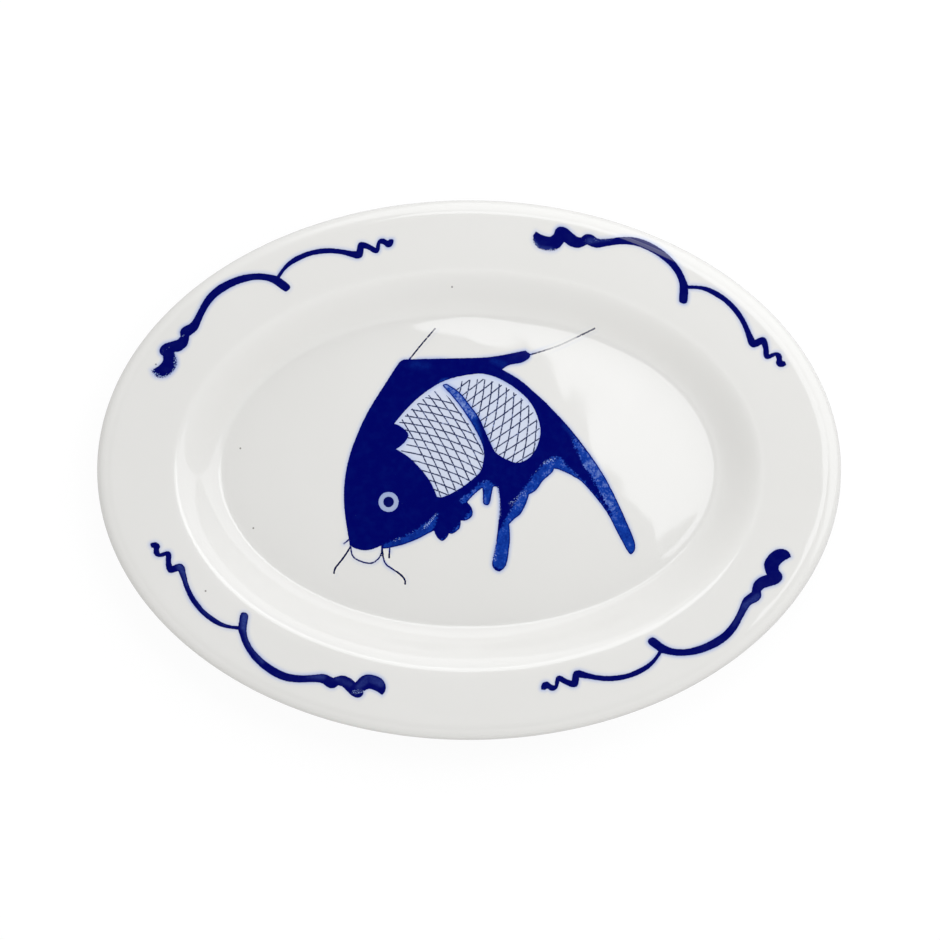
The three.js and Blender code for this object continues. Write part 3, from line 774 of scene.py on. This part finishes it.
# Studio
# A white table that runs out into plain white. Three small soft lamps hang over the rear and the right of
# the plate, and a large one stands beside them. The room has pale walls, and a dark ceiling that keeps
# reflections off the prints.
TABLE_SIZE = 6
TABLE_DROP = 0.02 * MM
TABLE_GREY = (0.1, 0.1, 0.1, 1)
TABLE_GLOW = 0.918
bpy.ops.object.select_all(action="DESELECT")
bpy.ops.mesh.primitive_plane_add(size=TABLE_SIZE, location=(0, 0, -TABLE_DROP))
table = bpy.context.object
table.name = "table_top"
white_table = bpy.data.materials.new("white_table")
white_table.use_nodes = True
tree = white_table.node_tree
paper = tree.nodes["Principled BSDF"]
paper.inputs["Base Color"].default_value = TABLE_GREY
paper.inputs["Roughness"].default_value = 1
paper.inputs["Specular IOR Level"].default_value = 0
glow = place_node(tree, "Emission")
seen = place_node(tree, "LightPath")
mirrored = place_node(tree, "Math", operation="MAXIMUM")
shown = place_node(tree, "Math", operation="MAXIMUM")
white = place_node(tree, "Math", {1: TABLE_GLOW}, operation="MULTIPLY")
lit = place_node(tree, "AddShader")
below = place_node(tree, "NewGeometry")
unseen = place_node(tree, "BsdfTransparent")
one_sided = place_node(tree, "MixShader")
tree.links.new(seen.outputs["Is Glossy Ray"], mirrored.inputs[0])
tree.links.new(seen.outputs["Is Transmission Ray"], mirrored.inputs[1])
tree.links.new(seen.outputs["Is Camera Ray"], shown.inputs[0])
tree.links.new(mirrored.outputs["Value"], shown.inputs[1])
tree.links.new(shown.outputs["Value"], white.inputs[0])
tree.links.new(white.outputs["Value"], glow.inputs["Strength"])
tree.links.new(paper.outputs["BSDF"], lit.inputs[0])
tree.links.new(glow.outputs["Emission"], lit.inputs[1])
tree.links.new(below.outputs["Backfacing"], one_sided.inputs["Fac"])
tree.links.new(lit.outputs["Shader"], one_sided.inputs[1])
tree.links.new(unseen.outputs["BSDF"], one_sided.inputs[2])
tree.links.new(one_sided.outputs["Shader"], tree.nodes["Material Output"].inputs["Surface"])
table.data.materials.append(white_table)

LAMP_COLOUR = (0.95, 0.965, 1)
LAMP_HEIGHT = 0.4


def hang_lamp(name, width, depth, radiance, place, turn):
    """A soft rectangular lamp of a given brightness, at a place and turned as given."""
    lamp = bpy.data.lights.new(name, "AREA")
    lamp.shape = "RECTANGLE"
    lamp.size = width
    lamp.size_y = depth
    lamp.energy = radiance * math.pi * width * depth
    lamp.color = LAMP_COLOUR
    stand = bpy.data.objects.new(name, lamp)
    bpy.context.scene.collection.objects.link(stand)
    stand.location = place
    stand.rotation_euler = turn
    stand.visible_camera = False


for name, near, out, width, depth, radiance in (
    ("rear_softbox", Vector((0.004, 0.098, LAMP_HEIGHT)), Vector((0.207, 0.978, 0)), 0.11, 0.09, 2.2),
    ("corner_softbox", Vector((0.052, 0.076, LAMP_HEIGHT)), Vector((0.588, 0.809, 0)), 0.1, 0.1, 2.2),
    ("right_softbox", Vector((0.079, 0.025, LAMP_HEIGHT)), Vector((0.865, 0.5, 0)), 0.116, 0.12, 2),
):
    facing_out = (0, 0, math.atan2(out.y, out.x) - math.pi / 2)
    hang_lamp(name, width, depth, radiance, near + out * depth / 2, facing_out)
beside = Vector((0.273, 0.325, 0.424))
facing_plate = beside.to_track_quat("Z", "Y").to_euler()
hang_lamp("side_softbox", width=1.2, depth=0.6, radiance=1, place=beside, turn=facing_plate)

CEILING_WAY = (0, 0.03, 1)
BRIGHTER_WAY = (-0.5, -0.86, 0)
world = bpy.data.worlds.new("pale_room")
bpy.context.scene.world = world
world.use_nodes = True
tree = world.node_tree
sky = tree.nodes["Background"]
way = place_node(tree, "TexCoord")
above = place_node(tree, "VectorMath", {1: CEILING_WAY}, operation="DOT_PRODUCT")
ceiling = place_node(tree, "MapRange", {
    "From Min": 0.965, "From Max": 0.9, "To Min": 0.02, "To Max": 1})
sideways = place_node(tree, "VectorMath", {1: BRIGHTER_WAY}, operation="DOT_PRODUCT")
wall_light = place_node(tree, "MapRange", {
    "From Min": -1, "From Max": 1, "To Min": 0.608, "To Max": 0.73})
split = place_node(tree, "SeparateXYZ")
front_and_back = place_node(tree, "Math", {1: 2}, operation="POWER")
ends = place_node(tree, "MapRange", {"To Min": 1, "To Max": 1.9})
walls = place_node(tree, "Math", operation="MULTIPLY")
room = place_node(tree, "Math", operation="MULTIPLY")
seen = place_node(tree, "LightPath")
backdrop = place_node(tree, "Mix", {"B": 1}, data_type="FLOAT")
tree.links.new(way.outputs["Generated"], above.inputs[0])
tree.links.new(way.outputs["Generated"], sideways.inputs[0])
tree.links.new(above.outputs["Value"], ceiling.inputs["Value"])
tree.links.new(sideways.outputs["Value"], wall_light.inputs["Value"])
tree.links.new(ceiling.outputs["Result"], room.inputs[0])
tree.links.new(way.outputs["Generated"], split.inputs["Vector"])
tree.links.new(split.outputs["Y"], front_and_back.inputs[0])
tree.links.new(front_and_back.outputs["Value"], ends.inputs["Value"])
tree.links.new(wall_light.outputs["Result"], walls.inputs[0])
tree.links.new(ends.outputs["Result"], walls.inputs[1])
tree.links.new(walls.outputs["Value"], room.inputs[1])
tree.links.new(seen.outputs["Is Camera Ray"], backdrop.inputs["Factor"])
tree.links.new(room.outputs["Value"], backdrop.inputs["A"])
tree.links.new(backdrop.outputs["Result"], sky.inputs["Strength"])
sky.inputs["Color"].default_value = (1, 1, 1, 1)


# Camera
# Almost straight above the plate, a little in front of it and tipped three degrees, as in the photograph.
CAMERA_PLACE = Vector((0.314, -32.1, 619.2)) * MM
CAMERA_TIP = math.radians(3)
CAMERA_LENS = 67.32
CAMERA_SENSOR = 36
eye = bpy.data.cameras.new("photograph")
eye.lens = CAMERA_LENS
eye.sensor_width = CAMERA_SENSOR
photograph = bpy.data.objects.new("photograph", eye)
bpy.context.scene.collection.objects.link(photograph)
photograph.location = CAMERA_PLACE
photograph.rotation_euler = (CAMERA_TIP, 0, 0)
bpy.context.scene.camera = photograph
bpy.context.scene.view_settings.view_transform = "Standard"
